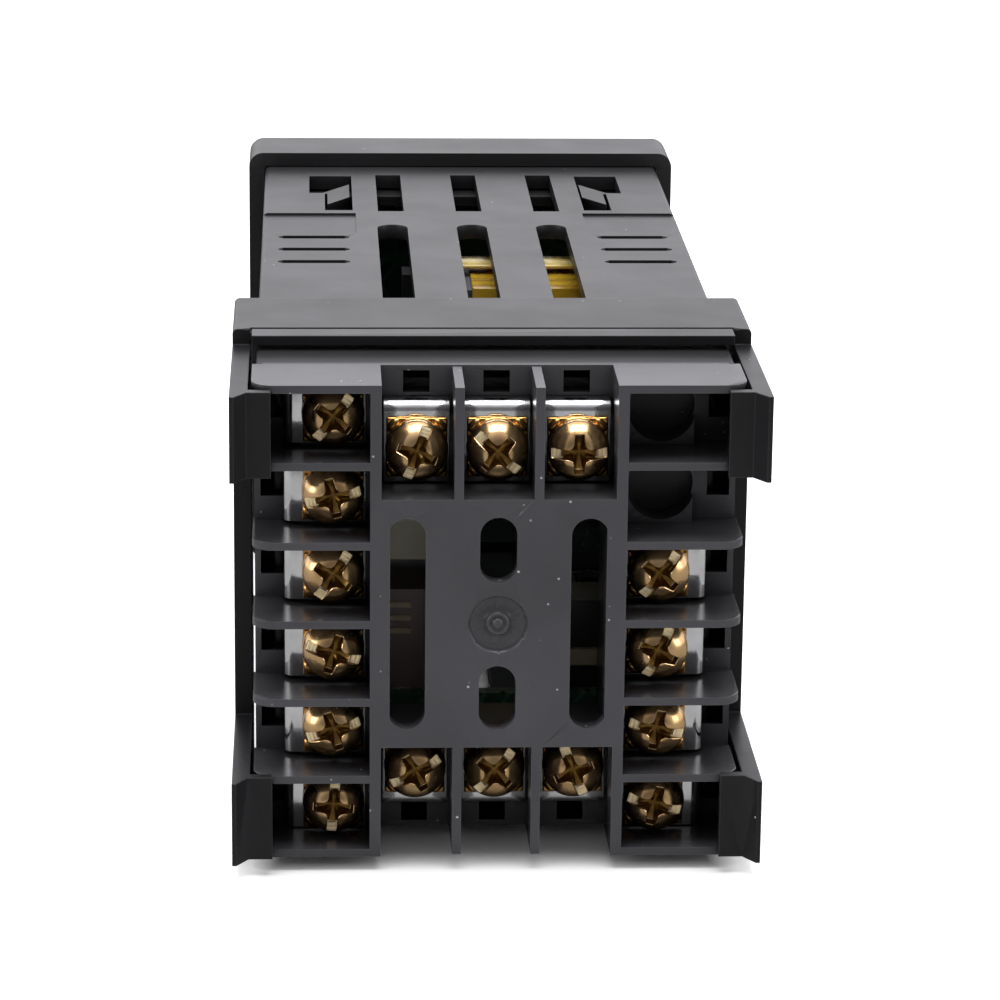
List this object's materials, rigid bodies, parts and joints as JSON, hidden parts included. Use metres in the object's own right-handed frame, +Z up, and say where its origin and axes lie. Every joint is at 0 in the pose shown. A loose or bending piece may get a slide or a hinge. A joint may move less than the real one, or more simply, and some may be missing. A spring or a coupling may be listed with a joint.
{
  "type": "panel mount temperature controller",
  "caption": "Square panel temperature controller: vented case, display bezel with keys, screw terminal block with barriers and a clip-on mounting bracket.",
  "frame": {"origin": "centre of the bounding box's bottom, on the surface that it stands on", "axes": "+Z up; -Y is where the display faces; +Y is where the terminals face; +X is to the right for someone reading the display"},
  "size_m": [0.0488, 0.1135, 0.048],
  "materials": {
    "case_plastic": "fine matt moulded, charcoal black",
    "block_plastic": "fine matt moulded, dark grey",
    "bracket_plastic": "fine matt moulded, black",
    "window_smoke": "smoked clear plastic",
    "key_plastic": "fine matt, mid grey",
    "display_epoxy": "dark filled segments face",
    "lamp_clear": "clear tinted epoxy",
    "switch_metal": "stamped cover",
    "circuit_board": "green solder mask",
    "header_plastic": "black moulded",
    "ferrite": "sintered, dark grey",
    "yellow_tape": "yellow polyester tape",
    "bobbin_plastic": "black moulded",
    "capacitor_sleeve": "glossy shrink sleeve",
    "film_case": "yellow moulded",
    "relay_case": "cream moulded",
    "chip_epoxy": "black moulded epoxy",
    "screw_brass": "yellow passivated, satin",
    "washer_brass": "yellow passivated, satin",
    "plate_nickel": "bright nickel plated"
  },
  "bodies": {
    "controller": {"alarm_relay": "relay_case", "base_board": "circuit_board", "control_board": "circuit_board", "control_header": "header_plastic", "display_board": "circuit_board", "display_window": "window_smoke", "driver_chip": "chip_epoxy", "film_capacitor": "film_case", "filter_capacitor": "capacitor_sleeve", "front_bezel": "case_plastic", "housing": "case_plastic", "indicator_lamps": "lamp_clear", "mains_capacitor": "capacitor_sleeve", "memory_chip": "chip_epoxy", "microcontroller": "chip_epoxy", "output_relay": "relay_case", "power_board": "circuit_board", "power_header": "header_plastic", "setting_display": "display_epoxy", "square_washers": "washer_brass", "tact_switches": "switch_metal", "terminal_block": "block_plastic", "terminal_plate_01": "plate_nickel", "terminal_plate_02": "plate_nickel", "terminal_plate_03": "plate_nickel", "terminal_plate_04": "plate_nickel", "terminal_plate_05": "plate_nickel", "terminal_plate_06": "plate_nickel", "terminal_plate_07": "plate_nickel", "terminal_plate_08": "plate_nickel", "terminal_plate_09": "plate_nickel", "terminal_plate_10": "plate_nickel", "terminal_plate_11": "plate_nickel", "terminal_plate_12": "plate_nickel", "terminal_plate_13": "plate_nickel", "terminal_plate_14": "plate_nickel", "terminal_plate_15": "plate_nickel", "terminal_plate_16": "plate_nickel", "terminal_screws": "screw_brass", "transformer_bobbin": "bobbin_plastic", "transformer_core": "ferrite", "transformer_winding": "yellow_tape", "value_display": "display_epoxy"},
    "bracket": {"mounting_bracket": "bracket_plastic"},
    "set_key": {"set_key": "key_plastic"},
    "shift_key": {"shift_key": "key_plastic"},
    "down_key": {"down_key": "key_plastic"},
    "up_key": {"up_key": "key_plastic"}
  },
  "joints": [
    {"name": "bracket_slide", "type": "slide", "parent": "controller", "child": "bracket", "axis": [0, 1, 0], "range_m": [0, 0.028]},
    {"name": "set_key_press", "type": "slide", "parent": "controller", "child": "set_key", "axis": [0, 1, 0], "range_m": [0, 0.0004], "stiffness_N_per_m": 2500},
    {"name": "shift_key_press", "type": "slide", "parent": "controller", "child": "shift_key", "axis": [0, 1, 0], "range_m": [0, 0.0004], "stiffness_N_per_m": 2500},
    {"name": "down_key_press", "type": "slide", "parent": "controller", "child": "down_key", "axis": [0, 1, 0], "range_m": [0, 0.0004], "stiffness_N_per_m": 2500},
    {"name": "up_key_press", "type": "slide", "parent": "controller", "child": "up_key", "axis": [0, 1, 0], "range_m": [0, 0.0004], "stiffness_N_per_m": 2500}
  ]
}
